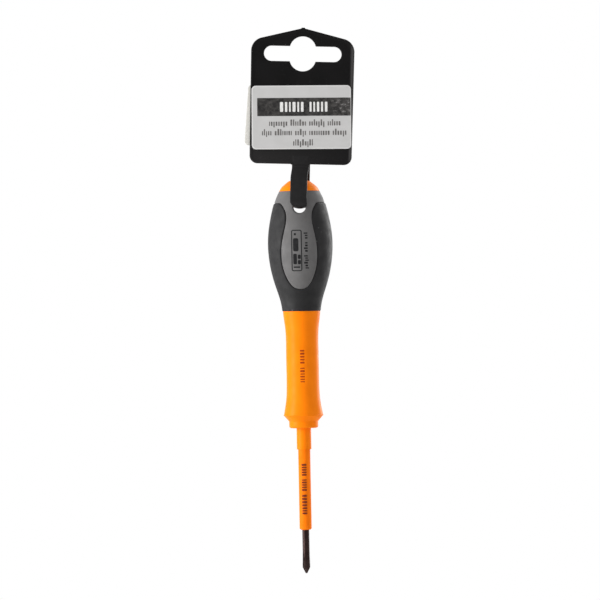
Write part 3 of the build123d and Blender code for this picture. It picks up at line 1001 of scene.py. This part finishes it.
def make_emblem():
    """A plain frame with a few bars in it and a column of print beside it, on each window."""
    def place(spots, up):
        return wrapped(spots[:, 0], spots[:, 1], RADIUS(spots[:, 1]), up)

    width, height = EMBLEM_SIZE
    outer = densify(rounded_box(width, height, EMBLEM_R, EMBLEM_CENTRE, 0.25), 0.5)
    hollow = (width - 2 * EMBLEM_LINE, height - 2 * EMBLEM_LINE)
    inner = densify(rounded_box(*hollow, EMBLEM_R - EMBLEM_LINE, EMBLEM_CENTRE, 0.25), 0.5)
    points, faces = triangulate([(outer, True), (inner, True)])
    centres = points[faces].mean(axis=1)
    faces = faces[inside(centres, outer) & ~inside(centres, inner)]
    solids = [shell(place(points, INK_T), place(points, -INK_SUNK), faces)]
    solids += [bar_solid(bar, place) for bar in EMBLEM_BARS]
    middle, side, length, tall, unit = EMBLEM_PRINT
    for foot, head, low, high in words(length, tall, unit):
        solids.append(bar_solid((side - high, side - low, middle + foot, middle + head), place, step=0.4))
    points, faces, marks = joined(solids)
    points, faces, _ = joined([(points, faces, marks), (points * HALF_TURN, faces, marks)])
    piece = new_piece("grip_print", points, faces, [GRIP_INK])
    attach(piece, "tool")


NECK = outermost({"handle_core": 0}, 1, NECK_LOW, NECK_HIGH)
NECK = NECK[NECK[:, 1] > NECK[:, 1].max() - NECK_DEPTH]
SLEEVE_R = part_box("shaft_sleeve")[1].x / MM


def neck_radius(z):
    """The neck's radius at each height."""
    return np.interp(z, *NECK.T)


def sleeve_radius(z):
    """The sleeve's radius, which is the same at each height."""
    return np.full(len(z), SLEEVE_R)


# ------------------------------------------------------------------ stage
def area_light(name, place, size, power):
    """A soft rectangular light that is turned towards the tool."""
    light = bpy.data.lights.new(name, "AREA")
    light.shape = "RECTANGLE"
    light.size, light.size_y = size
    light.energy = power
    lamp = bpy.data.objects.new(name, light)
    lamp.location = place
    lamp.rotation_euler = (Vector(LIGHT_AIM) - Vector(place)).to_track_quat("-Z", "Y").to_euler()
    bpy.context.scene.collection.objects.link(lamp)


def make_stage():
    """A pale floor under the hanging tool, soft lights, and white all round."""
    rim = [(x, y, FLOOR_Z) for x, y in arc(0, 0, FLOOR_R, 0, 2 * math.pi, FLOOR_POINTS + 1)[:-1]]
    floor_paint = surface("floor_paint", (0.8, 0.8, 0.79), (0.77, 0.77, 0.76), (0.7, 0.8), 2.0, 0.02,
                          cloud=60.0)
    floor = new_piece("floor", rim, [tuple(range(len(rim)))], [floor_paint])
    for name, place, size, power in LIGHTS:
        area_light(name, place, size, power)
    world = bpy.data.worlds.new("studio")
    bpy.context.scene.world = world
    world.use_nodes = True
    tree = world.node_tree
    background = tree.nodes["Background"]
    seen = tree.nodes.new("ShaderNodeLightPath").outputs["Is Camera Ray"]
    direction = tree.nodes.new("ShaderNodeTexCoord").outputs["Generated"]
    behind = add(tree, "SeparateXYZ", output=1, Vector=direction)
    around = spread(tree, behind, FRONT_LEVEL, SIDE_LEVEL, FRONT_GLOW, SIDE_GLOW)
    feed(tree, background.inputs["Strength"], calc(tree, "MAXIMUM", around, seen))
    background.inputs["Color"].default_value = (1, 1, 1, 1)
    bpy.context.scene.view_settings.view_transform = "Standard"


def make_camera():
    """Level with the middle of the grip, far enough for an almost flat view, rolled a little."""
    camera = bpy.data.objects.new("camera", bpy.data.cameras.new("camera"))
    camera.data.lens = CAMERA_LENS
    x, z = CAMERA_AIM
    level = Matrix.Rotation(math.pi / 2, 4, "X") @ Matrix.Rotation(math.radians(CAMERA_ROLL), 4, "Z")
    camera.matrix_world = Matrix.Translation((x * MM, -CAMERA_DISTANCE, z * MM)) @ level
    bpy.context.scene.collection.objects.link(camera)
    bpy.context.scene.camera = camera


dress("blade", STEEL)
dress("shaft_sleeve", SLEEVE)
dress("handle_core", ORANGE)
make_grip()
make_plate()
make_clip()
make_strap()
make_label("front_paper", "front_label", FRONT_LABEL, SILVER, True)
make_label("rear_paper", "rear_label", REAR_LABEL, CREAM, False)
make_emblem()
make_column("neck_print", RED_INK, neck_radius, *NECK_PRINT)
make_column("sleeve_print", PLUM_INK, sleeve_radius, *SLEEVE_PRINT)
make_stage()
make_camera()
